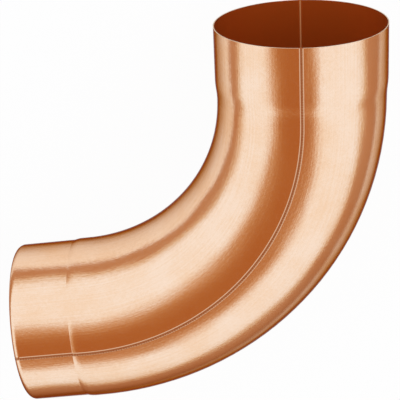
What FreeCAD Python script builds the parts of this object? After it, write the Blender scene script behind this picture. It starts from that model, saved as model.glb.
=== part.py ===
import FreeCAD, Part
import math
import os

from FreeCAD import Vector

# Downspout elbow of copper sheet: two pressed half shells butt welded along both seams.
# The socket mouth's centre is the origin, the socket opens along +Y and the bend lies in the XY plane.
# The elbow lies on its side, so the front seam faces +Z. All sizes are in millimetres.

# Tube and bend
body_diameter = 100.0
sheet_thickness = 0.6
bend_radius = 145.0
bend_angle = 85.0

# Socket at the upper end, which takes the downpipe's plain end
socket_play = 0.3
socket_depth = 31.0
socket_taper_length = 13.5

# Spigot at the lower end, which enters the next pipe's socket
spigot_reduction = 0.7
spigot_neck_length = 4.0
spigot_shoulder_length = 4.5
spigot_straight_length = 32.5
spigot_lead_in_radius = 4.0
spigot_lead_in_turn = 60.0

# Weld beads on the two seams
bead_width = 2.4
bead_crown_height = 0.2
bead_root_height = 0.15
bead_flat_share = 0.5

# Sizes that follow from the ones above
body_radius = body_diameter / 2
socket_radius = body_radius + socket_play + sheet_thickness
spigot_radius = body_radius - spigot_reduction
socket_length = socket_depth + socket_taper_length
shoulder_end = spigot_neck_length + spigot_shoulder_length
lead_in_start = shoulder_end + spigot_straight_length
bead_half_angle = math.degrees(math.asin(bead_width / 2 / body_radius))

bend_centre = Vector(-bend_radius, -socket_length, 0)
bend_start = Vector(0, -socket_length, 0)
socket_axis = Vector(0, 1, 0)
bend_axis = Vector(0, 0, 1)


def rolled_drop(drop, run, share):
    """How far an arc has fallen after a share of its run, if it starts level and falls by drop over the whole run."""
    arc_radius = (drop**2 + run**2) / (2 * drop)
    return arc_radius - math.sqrt(arc_radius**2 - (run * share) ** 2)


def taper_drop(share):
    """Fall of the socket's taper: two equal arcs, so that it leaves one wall and joins the next without a crease."""
    half_drop = (socket_radius - body_radius) / 2
    half_run = socket_taper_length / 2
    if share <= 0.5:
        return rolled_drop(half_drop, half_run, 2 * share)
    return 2 * half_drop - rolled_drop(half_drop, half_run, 2 - 2 * share)


def shoulder_drop(share):
    """Fall of the spigot's shoulder: one arc that rolls off the body and meets the spigot in a crisp line."""
    return rolled_drop(spigot_reduction, spigot_shoulder_length, share)


def arc_down(radius, start, length, drop, first, last):
    """Edge of a taper or shoulder between two shares of its length; x is the radius and y runs along the axis."""
    points = []
    for share in (first, (first + last) / 2, last):
        points.append(Vector(radius - drop(share), -start - length * share, 0))
    return Part.Arc(*points).toShape()


def closed_section(outer_edges, inner_edges):
    """The face between an outer and an inner run of edges that both go the same way."""
    ends = [
        Part.makeLine(outer_edges[0].firstVertex(True).Point, inner_edges[0].firstVertex(True).Point),
        Part.makeLine(outer_edges[-1].lastVertex(True).Point, inner_edges[-1].lastVertex(True).Point),
    ]
    return Part.Face(Part.Wire(Part.__sortEdges__(outer_edges + inner_edges + ends)))


def socket_run(offset):
    """One side of the socket's wall, from the mouth down to the bend's start."""
    mouth = Vector(socket_radius + offset, 0, 0)
    stop = Vector(socket_radius + offset, -socket_depth, 0)
    halves = []
    for first in (0, 0.5):
        wall = socket_radius + offset
        halves.append(arc_down(wall, socket_depth, socket_taper_length, taper_drop, first, first + 0.5))
    return [Part.makeLine(mouth, stop)] + halves


def lead_in_run(offset):
    """One side of the spigot's turned-in end, as an arc that starts level with the straight."""
    centre = Vector(spigot_radius - spigot_lead_in_radius, -lead_in_start, 0)
    points = []
    for share in (0, 0.5, 1):
        turn = math.radians(spigot_lead_in_turn * share)
        points.append(centre + Vector(math.cos(turn), -math.sin(turn), 0) * (spigot_lead_in_radius + offset))
    return [Part.Arc(*points).toShape()]


def spigot_run(offset):
    """One side of the spigot's wall, from the bend's end through neck, shoulder and straight to the turned-in end."""
    top = Vector(body_radius + offset, 0, 0)
    neck = Vector(body_radius + offset, -spigot_neck_length, 0)
    shoulder = Vector(spigot_radius + offset, -shoulder_end, 0)
    straight = Vector(spigot_radius + offset, -lead_in_start, 0)
    roll = arc_down(body_radius + offset, spigot_neck_length, spigot_shoulder_length, shoulder_drop, 0, 1)
    return [Part.makeLine(top, neck), roll, Part.makeLine(shoulder, straight)] + lead_in_run(offset)


def turned_wall(run, middle_angle, sweep):
    """Wall of the given run, turned about the socket axis; angles go from +X towards +Z."""
    face = closed_section(run(0), run(-sheet_thickness))
    face.rotate(Vector(0, 0, 0), socket_axis, -(middle_angle + sweep / 2))
    return face.revolve(Vector(0, 0, 0), socket_axis, sweep)


def ring_point(radius, angle):
    """A point around the socket axis, at the height of the mouth."""
    turn = math.radians(angle)
    return Vector(radius * math.cos(turn), 0, radius * math.sin(turn))


def wall_section(radius, middle_angle, sweep):
    """Sector of the tube's wall, square to its axis."""
    arcs = []
    for wall in (radius, radius - sheet_thickness):
        angles = (middle_angle - sweep / 2, middle_angle, middle_angle + sweep / 2)
        arcs.append(Part.Arc(*[ring_point(wall, angle) for angle in angles]).toShape())
    return closed_section(arcs[:1], arcs[1:])


def bent(section):
    """The section carried round the bend from its start to its end."""
    section.translate(bend_start)
    return section.revolve(bend_centre, bend_axis, -bend_angle)


def at_bend_end(shape):
    """Moves a shape made below the mouth's centre to where the bend ends."""
    shape.translate(bend_start)
    shape.rotate(bend_centre, bend_axis, -bend_angle)
    return shape


def half_shell(middle_angle):
    """One pressing, from the mouth to the turned-in end, cut back at both edges for the weld."""
    sweep = 180 - 2 * bead_half_angle
    socket = turned_wall(socket_run, middle_angle, sweep)
    bend = bent(wall_section(body_radius, middle_angle, sweep))
    spigot = at_bend_end(turned_wall(spigot_run, middle_angle, sweep))
    return socket.fuse([bend, spigot]).removeSplitter().Solids[0]


def bead_section(radius, middle_angle, depth):
    """Section of a planished bead: flat on its crown and its root, with flanks that slope down to the sheet."""
    inner = radius - sheet_thickness
    flat = bead_half_angle * bead_flat_share
    corners = [
        ring_point(radius, middle_angle - bead_half_angle),
        ring_point(radius + bead_crown_height, middle_angle - flat),
        ring_point(radius + bead_crown_height, middle_angle + flat),
        ring_point(radius, middle_angle + bead_half_angle),
        ring_point(inner, middle_angle + bead_half_angle),
        ring_point(inner - bead_root_height, middle_angle + flat),
        ring_point(inner - bead_root_height, middle_angle - flat),
        ring_point(inner, middle_angle - bead_half_angle),
    ]
    section = Part.Face(Part.makePolygon(corners + corners[:1]))
    section.translate(Vector(0, -depth, 0))
    return section


def straight_bead(radius, middle_angle, start, length):
    return bead_section(radius, middle_angle, start).extrude(Vector(0, -length, 0))


def falling_bead(radius, middle_angle, start, length, drop):
    """Bead that follows the fall of a taper or shoulder."""
    wires = []
    for share in (0, 0.25, 0.5, 0.75, 1):
        wires.append(bead_section(radius - drop(share), middle_angle, start + length * share).OuterWire)
    return Part.makeLoft(wires, True, False)


def weld_bead(middle_angle):
    """One bead, from the mouth to the turned-in end, where the press has flattened it flush."""
    socket = straight_bead(socket_radius, middle_angle, 0, socket_depth)
    taper = falling_bead(socket_radius, middle_angle, socket_depth, socket_taper_length, taper_drop)
    bend = bent(bead_section(body_radius, middle_angle, 0))
    lower_end = [
        straight_bead(body_radius, middle_angle, 0, spigot_neck_length),
        falling_bead(body_radius, middle_angle, spigot_neck_length, spigot_shoulder_length, shoulder_drop),
        straight_bead(spigot_radius, middle_angle, shoulder_end, spigot_straight_length),
        turned_wall(lead_in_run, middle_angle, 2 * bead_half_angle),
    ]
    pieces = [taper, bend] + [at_bend_end(piece) for piece in lower_end]
    return socket.fuse(pieces).removeSplitter().Solids[0]


nodes = {
    "heel_shell": half_shell(0),
    "throat_shell": half_shell(180),
    "front_weld_bead": weld_bead(90),
    "rear_weld_bead": weld_bead(270),
}

os.makedirs("parts", exist_ok=True)
for name, shape in nodes.items():
    shape.exportStep(f"parts/{name}.step")
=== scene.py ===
import math

import bpy
from mathutils import Matrix, Vector


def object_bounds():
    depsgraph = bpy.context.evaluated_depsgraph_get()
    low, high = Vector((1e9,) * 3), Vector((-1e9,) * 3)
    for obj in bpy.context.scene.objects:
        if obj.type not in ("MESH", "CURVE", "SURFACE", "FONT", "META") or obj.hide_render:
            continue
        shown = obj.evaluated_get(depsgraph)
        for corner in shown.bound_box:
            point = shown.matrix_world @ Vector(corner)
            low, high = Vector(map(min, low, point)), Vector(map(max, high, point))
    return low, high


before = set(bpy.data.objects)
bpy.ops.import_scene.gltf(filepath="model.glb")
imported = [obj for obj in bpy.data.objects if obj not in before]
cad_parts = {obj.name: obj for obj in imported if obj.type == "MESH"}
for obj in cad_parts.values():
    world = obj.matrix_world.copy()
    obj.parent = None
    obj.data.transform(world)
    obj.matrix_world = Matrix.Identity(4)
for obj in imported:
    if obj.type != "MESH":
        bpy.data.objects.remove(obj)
cad_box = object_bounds()
bpy.ops.object.select_all(action="DESELECT")

# Half shells: two pressings of bright copper sheet, 0.6 mm thick, one for the heel and one for the throat.
# The press and the expander leave fine lines along the tube, soft waves and a faint handling bloom.
# They are butt welded to each other along both seams and nothing else holds them.
BEND_RADIUS = 0.145
BEND_ANGLE = math.radians(85)
BEND_LENGTH = BEND_RADIUS * BEND_ANGLE
BODY_RADIUS = 0.05
SOCKET_RADIUS = 0.0509
SOCKET_DEPTH = 0.031
TAPER_LENGTH = 0.0135
SOCKET_LENGTH = SOCKET_DEPTH + TAPER_LENGTH
SPIGOT_RADIUS = 0.0493
NECK_LENGTH = 0.004
SHOULDER_LENGTH = 0.0045
SPIGOT_STRAIGHT = 0.0325
LEAD_IN_RADIUS = 0.004
LEAD_IN_TURN = math.radians(60)
COPPER = (0.93, 0.655, 0.465, 1)
COPPER_WARM = (0.90, 0.565, 0.345, 1)
# Edge tint of the copper's reflections: painted shade that darkens the metal towards its outline.
GRAZING_PAINTED_SHADE = (0.24, 0.055, 0.015, 1)
COPPER_INSIDE = (0.56, 0.10, 0.012, 1)
# Pale cut face at the mouth's rim: bare cut copper with a painted highlight, lighter than the metal itself.
CUT_EDGE_WITH_PAINTED_HIGHLIGHT = (0.98, 0.86, 0.68, 1)
CUT_DEPTH = 0.0001
SHEET_MIDDLE = (0.0002, 0.0004)
SHEET_ROUGHNESS = 0.15
INSIDE_ROUGHER = 0.14
CUT_ROUGHER = 0.3
INSIDE_DULLER = 0.55
PRESS_MARK_HEIGHT = 0.0001


class Value:
    """A shader socket that takes part in Python expressions."""

    def __init__(self, tree, socket=None):
        self.tree = tree
        self.socket = socket

    def node(self, kind, settings=None, sockets=None, out=0):
        """One output of a new node, which gets its settings first and then its socket values or links."""
        made = self.tree.nodes.new(kind)
        for name, value in (settings or {}).items():
            if name == "stops":
                ramp = made.color_ramp
                ramp.interpolation = "B_SPLINE"
                while len(ramp.elements) < len(value):
                    ramp.elements.new(0.5)
                for element, (place, colour) in zip(ramp.elements, value):
                    element.position = place
                    element.color = (*colour, 1)
            else:
                setattr(made, name, value)
        for name, value in (sockets or {}).items():
            target = made.inputs[name]
            if isinstance(value, Value):
                self.tree.links.new(value.socket, target)
            else:
                target.default_value = value
        return Value(self.tree, made.outputs[out])

    def maths(self, operation, *others):
        return self.node("ShaderNodeMath", {"operation": operation}, dict(enumerate((self, *others))))

    def __add__(self, other):
        return self.maths("ADD", other)

    def __sub__(self, other):
        return self.maths("SUBTRACT", other)

    def __rsub__(self, other):
        return self.node("ShaderNodeMath", {"operation": "SUBTRACT"}, {0: other, 1: self})

    def __mul__(self, other):
        return self.maths("MULTIPLY", other)

    __radd__ = __add__
    __rmul__ = __mul__

    def clamp(self, low, high):
        return self.maths("MAXIMUM", low).maths("MINIMUM", high)

    def step(self, low, high):
        """A smooth rise from 0 at the low end to 1 at the high end."""
        ends = {"Value": self, "From Min": low, "From Max": high}
        return self.node("ShaderNodeMapRange", {"interpolation_type": "SMOOTHSTEP"}, ends)

    def mix(self, first, second):
        """The first colour where this value is 0 and the second where it is 1."""
        colours = {"Factor": self, "A": first, "B": second}
        return self.node("ShaderNodeMix", {"data_type": "RGBA"}, colours, out=2)

    def feed(self, shader, name):
        self.tree.links.new(self.socket, shader.inputs[name])


def new_material(name):
    """A node material, its main shader, and the place on the object as x, y and z values."""
    material = bpy.data.materials.new(name)
    material.use_nodes = True
    start = Value(material.node_tree)
    place = start.node("ShaderNodeTexCoord", out="Object")
    axes = [start.node("ShaderNodeSeparateXYZ", None, {"Vector": place}, out=axis) for axis in "XYZ"]
    return material, material.node_tree.nodes["Principled BSDF"], axes


def noise(x, y, z, scale, detail, roughness=0.5):
    at = x.node("ShaderNodeCombineXYZ", None, {"X": x, "Y": y, "Z": z})
    look = {"Vector": at, "Scale": scale, "Detail": detail, "Roughness": roughness}
    return x.node("ShaderNodeTexNoise", None, look)


def along_and_around(x, y, z):
    """Length along the centre line from the bend's start, angle around it and depth below the outer wall."""
    across = x + BEND_RADIUS
    down = -SOCKET_LENGTH - y
    turn = down.maths("ARCTAN2", across).clamp(0.0, BEND_ANGLE)
    cosine = turn.maths("COSINE")
    sine = turn.maths("SINE")
    outward = across * cosine + down * sine - BEND_RADIUS
    length = turn * BEND_RADIUS + down * cosine - across * sine
    radius = (outward * outward + z * z).maths("SQRT")
    shoulder = BEND_LENGTH + NECK_LENGTH
    spigot = shoulder + SHOULDER_LENGTH
    turned_in = (length - (spigot + SPIGOT_STRAIGHT)).clamp(0.0, LEAD_IN_RADIUS * math.sin(LEAD_IN_TURN))
    rise = (LEAD_IN_RADIUS**2 - turned_in * turned_in).maths("SQRT")
    wall = SOCKET_RADIUS - length.step(-TAPER_LENGTH, 0.0) * (SOCKET_RADIUS - BODY_RADIUS)
    wall = wall - length.step(shoulder, spigot) * (BODY_RADIUS - SPIGOT_RADIUS) + rise - LEAD_IN_RADIUS
    return length, z.maths("ARCTAN2", outward), wall - radius


def copper_sheet():
    material, shader, (x, y, z) = new_material("bright_copper_sheet")
    length, angle, depth = along_and_around(x, y, z)
    cut = length.maths("LESS_THAN", CUT_DEPTH - SOCKET_LENGTH)
    inside = depth.step(*SHEET_MIDDLE) * (1.0 - cut)
    lines = noise(length * 9.0, angle * 46.0, 0.0, scale=1.0, detail=3.0, roughness=0.6)
    bloom = noise(x, y, z, scale=34.0, detail=4.0, roughness=0.55)
    grain = noise(x, y, z, scale=620.0, detail=2.0, roughness=0.6)
    waves = noise(length * 16.0, angle * 2.6, inside * 7.0, scale=1.0, detail=1.0)
    warmth = (bloom * 0.6 + lines * 0.3 + grain * 0.2).step(0.40, 0.74)
    # The cut face at the mouth is painted paler, as bare cut copper with a painted highlight along the rim.
    outer_colour = cut.mix(warmth.mix(COPPER, COPPER_WARM), CUT_EDGE_WITH_PAINTED_HIGHLIGHT)
    inside.mix(outer_colour, COPPER_INSIDE).feed(shader, "Base Color")
    wear = (lines - 0.5) * 0.10 + (bloom - 0.5) * 0.08 + (grain - 0.5) * 0.26
    roughness = wear * (1.0 - inside) + SHEET_ROUGHNESS + inside * INSIDE_ROUGHER + cut * CUT_ROUGHER
    roughness.feed(shader, "Roughness")
    (1.0 - inside * INSIDE_DULLER).feed(shader, "Metallic")
    # The specular tint paints shade into the grazing reflections along the outline.
    shader.inputs["Specular Tint"].default_value = GRAZING_PAINTED_SHADE
    marks = waves * 5.0 + (lines * 0.30 + grain * 0.50) * (1.0 - inside)
    bump = x.node("ShaderNodeBump", None, {"Strength": 1.0, "Distance": PRESS_MARK_HEIGHT, "Height": marks})
    bump.feed(shader, "Normal")
    return material


sheet = copper_sheet()
for name in ("heel_shell", "throat_shell"):
    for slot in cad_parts[name].material_slots:
        slot.material = sheet

# Weld beads: copper filler run down both butt seams and planished nearly flush with the sheet.
# The torch leaves close ripples across the bead, which is rougher than the pressed sheet beside it and
# coloured darker, most of all along its middle.
BEAD_HALF_WIDTH = 0.0012
BEAD_MIDDLE = (0.0001, 0.0003)
RIPPLE_PITCH = 0.0016
RIPPLE_BOW = 0.0007
RIPPLE_HEIGHT = 0.0004
WELD_EDGE = (0.74, 0.41, 0.24, 1)
WELD_RIDGE = (0.52, 0.23, 0.10, 1)
# A thin painted highlight along the middle of the bead's root inside the fitting.
WELD_ROOT_PAINTED_HIGHLIGHT = (0.86, 0.42, 0.17, 1)
WELD_ROUGHNESS = 0.16
ROOT_ROUGHER = 0.25


def copper_weld():
    material, shader, (x, y, z) = new_material("copper_weld")
    length, angle, depth = along_and_around(x, y, z)
    inside = depth.step(*BEAD_MIDDLE)
    edge = (angle.maths("ABSOLUTE") - math.pi / 2).maths("ABSOLUTE") * (BODY_RADIUS / BEAD_HALF_WIDTH)
    ridge = 1.0 - edge.step(0.45, 0.9)
    crown = 1.0 - edge * edge
    wander = noise(length, z, 0.0, scale=160.0, detail=2.0)
    phase = (length + edge * edge * RIPPLE_BOW) * (2 * math.pi / RIPPLE_PITCH) + wander * 5.0
    ripple = phase.maths("SINE") * 0.5 + 0.5
    # The bead is coloured darker along its middle than at its edges, varying with the ripples.
    darker_middle = (ridge * 0.75 + ripple * 0.25 * ridge).clamp(0.0, 1.0)
    # Inside the fitting the bead's middle gets a thin painted highlight, fading to the inner wall's colour.
    root_with_painted_highlight = edge.step(0.1, 0.5).mix(WELD_ROOT_PAINTED_HIGHLIGHT, COPPER_INSIDE)
    inside.mix(darker_middle.mix(WELD_EDGE, WELD_RIDGE), root_with_painted_highlight).feed(shader, "Base Color")
    (ridge * 0.12 + wander * 0.08 + WELD_ROUGHNESS + inside * ROOT_ROUGHER).feed(shader, "Roughness")
    (1.0 - inside * INSIDE_DULLER).feed(shader, "Metallic")
    # The specular tint paints shade into the grazing reflections along the bead's outline.
    shader.inputs["Specular Tint"].default_value = GRAZING_PAINTED_SHADE
    marks = (crown * 0.5 + ripple * ridge * 0.35) * (1.0 - inside)
    bump = x.node("ShaderNodeBump", None, {"Strength": 0.6, "Distance": RIPPLE_HEIGHT, "Height": marks})
    bump.feed(shader, "Normal")
    return material


weld = copper_weld()
for name in ("front_weld_bead", "rear_weld_bead"):
    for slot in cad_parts[name].material_slots:
        slot.material = weld

# Floor: a small white table top that the elbow lies on, and the warm ground beyond the table's soft edge.
# The table is white to the camera and in the copper alike and keeps a soft trace of the elbow's shadow.
FLOOR_SIZE = 6.0
TABLE_MIDDLE = (-0.065, -0.125)
TABLE_EDGE = (0.21, 0.27)
TABLE = (0.92, 0.92, 0.92, 1)
TABLE_WHITENED = 0.95
GROUND = (0.62, 0.34, 0.18, 1)
bpy.ops.mesh.primitive_plane_add(size=FLOOR_SIZE, location=(0, 0, cad_box[0][2]))
floor = bpy.context.object
floor.name = "floor"
bpy.ops.object.transform_apply(location=True)
table, matt, (x, y, z) = new_material("white_table")
matt.inputs["Roughness"].default_value = 0.9
matt.inputs["Specular IOR Level"].default_value = 0.0
aside = x - TABLE_MIDDLE[0]
ahead = y - TABLE_MIDDLE[1]
beyond = (aside * aside + ahead * ahead).maths("SQRT").step(*TABLE_EDGE)
beyond.mix(TABLE, GROUND).feed(matt, "Base Color")
rays = ("Is Camera Ray", "Is Glossy Ray", "Is Transmission Ray")
seen, mirrored, through = (x.node("ShaderNodeLightPath", out=ray) for ray in rays)
whitened = (seen + mirrored + through) * (1.0 - beyond) * TABLE_WHITENED
plain = Value(table.node_tree, matt.outputs[0])
white = x.node("ShaderNodeEmission", None, {"Color": (1, 1, 1, 1), "Strength": 1.0})
shown = x.node("ShaderNodeMixShader", None, {0: whitened, 1: plain, 2: white})
shown.feed(table.node_tree.nodes["Material Output"], "Surface")
floor.data.materials.append(table)

# Light tent: white cloth all round the table, with one wide, soft-edged opening nearly straight above.
# The opening and the warm room behind it show in the copper as the dark band along its upper side.
OPENING_MIDDLE = (-0.202, -0.237, 0.950)
OPENING_SPREAD = (math.radians(10), math.radians(48))
OPENING_SHARE = 0.65
DARKEST = (-0.10, -0.38, 0.92)
DARKEST_SPREAD = (math.radians(4), math.radians(40))
ROOM_TO_CLOTH = (
    (0.0, (0.44, 0.15, 0.038)),
    (0.3, (0.54, 0.26, 0.10)),
    (0.55, (0.70, 0.45, 0.26)),
    (0.8, (0.97, 0.97, 0.97)),
)
CLOTH = (1.02, 1.13, 1.26, 1)
CLOTH_STARTS = (0.55, 1.0)
CLOTH_FOOT = (0.78, 0.62, 0.43, 1)
CLOTH_FOOT_RISE = (0.0, 0.14)
world = bpy.data.worlds.new("light_tent")
bpy.context.scene.world = world
world.use_nodes = True
start = Value(world.node_tree)
outlook = start.node("ShaderNodeTexCoord", out="Generated")
axes = [start.node("ShaderNodeSeparateXYZ", None, {"Vector": outlook}, out=axis) for axis in "XYZ"]
east, north, high = axes


def away(towards, spread):
    """0 towards a place on the tent, rising to 1 over the given spread of angles from it."""
    facing = (east * towards[0] + north * towards[1] + high * towards[2]).clamp(-1.0, 1.0)
    return facing.maths("ARCCOSINE").step(*spread)


covered = away(OPENING_MIDDLE, OPENING_SPREAD) * OPENING_SHARE
covered = covered + away(DARKEST, DARKEST_SPREAD) * (1.0 - OPENING_SHARE)
opening = covered.node("ShaderNodeValToRGB", {"stops": ROOM_TO_CLOTH}, {"Fac": covered})
cloth = high.step(*CLOTH_FOOT_RISE).mix(CLOTH_FOOT, CLOTH)
background = world.node_tree.nodes["Background"]
covered.step(*CLOTH_STARTS).mix(opening, cloth).feed(background, "Color")
background.inputs["Strength"].default_value = 1.0

# Camera: a long lens high above the table, leaning to the mouth's side so that it looks a little way in.
# Its place and turn are those of the photograph's view, worked out for a square picture.
CAMERA_PLACE = (-0.001912, 0.230875, 0.811461)
CAMERA_RIGHT = Vector((0.997489, -0.040991, -0.05776))
CAMERA_UP = Vector((0.015357, 0.921275, -0.388609))
camera_data = bpy.data.cameras.new("camera")
camera_data.sensor_width = 36.0
camera_data.lens = 129.906
camera_data.clip_end = 20.0
camera = bpy.data.objects.new("camera", camera_data)
bpy.context.scene.collection.objects.link(camera)
turn = Matrix((CAMERA_RIGHT, CAMERA_UP, CAMERA_RIGHT.cross(CAMERA_UP))).transposed().to_4x4()
camera.matrix_world = Matrix.Translation(CAMERA_PLACE) @ turn
bpy.context.scene.camera = camera

bpy.context.scene.view_settings.view_transform = "Standard"
